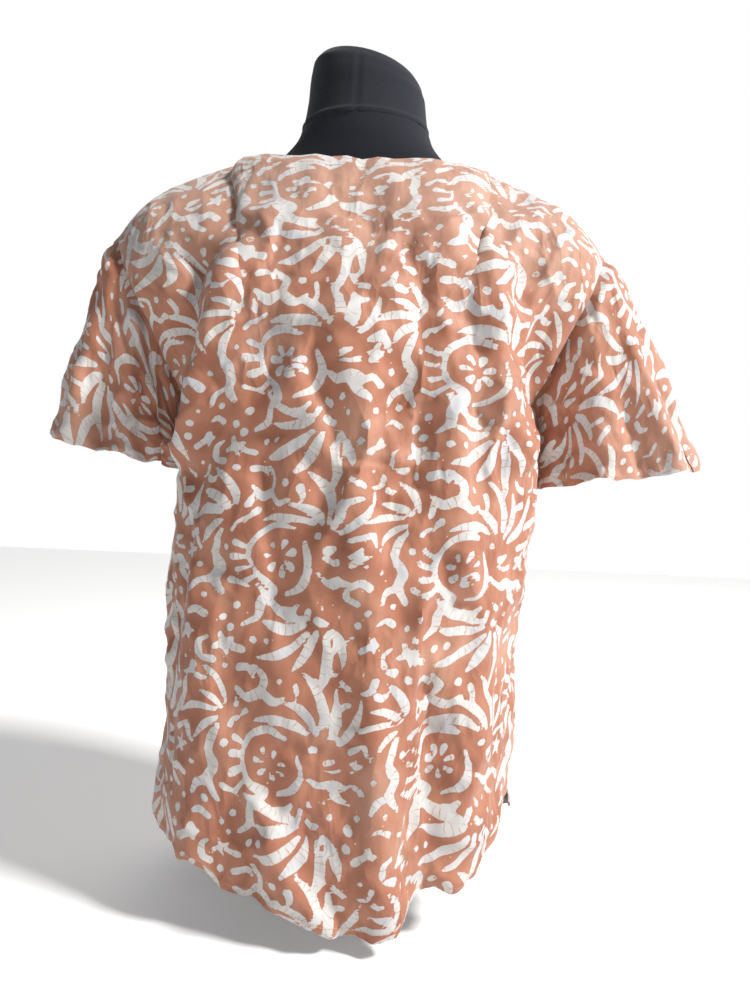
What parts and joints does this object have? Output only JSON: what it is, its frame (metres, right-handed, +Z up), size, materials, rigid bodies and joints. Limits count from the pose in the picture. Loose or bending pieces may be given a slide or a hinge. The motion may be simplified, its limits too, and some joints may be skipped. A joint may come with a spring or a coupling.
{
  "type": "batik shirt on dress form",
  "caption": "Short-sleeved pull-on shirt in stamp-printed cotton, hanging on a limbless tabletop dress form with a covered neck.",
  "frame": {"origin": "centre of the underside of the dress form's base plate", "axes": "+Z up, the back of the shirt faces -Y and its front +Y, +X to the right of someone looking at the back"},
  "size_m": [0.6837, 0.286, 0.8696],
  "materials": {
    "printed_cotton": "matt printed cotton, terracotta ground with off-white motifs",
    "dark_jersey": "matt blue-black jersey",
    "stand_metal": "satin black paint"
  },
  "bodies": {
    "root": {"back_panel": "printed_cotton", "front_panel": "printed_cotton", "sleeve_left": "printed_cotton", "sleeve_right": "printed_cotton", "neck_facing": "printed_cotton", "form_torso": "dark_jersey", "form_neck": "dark_jersey", "form_post": "stand_metal", "form_base": "stand_metal"}
  },
  "joints": []
}
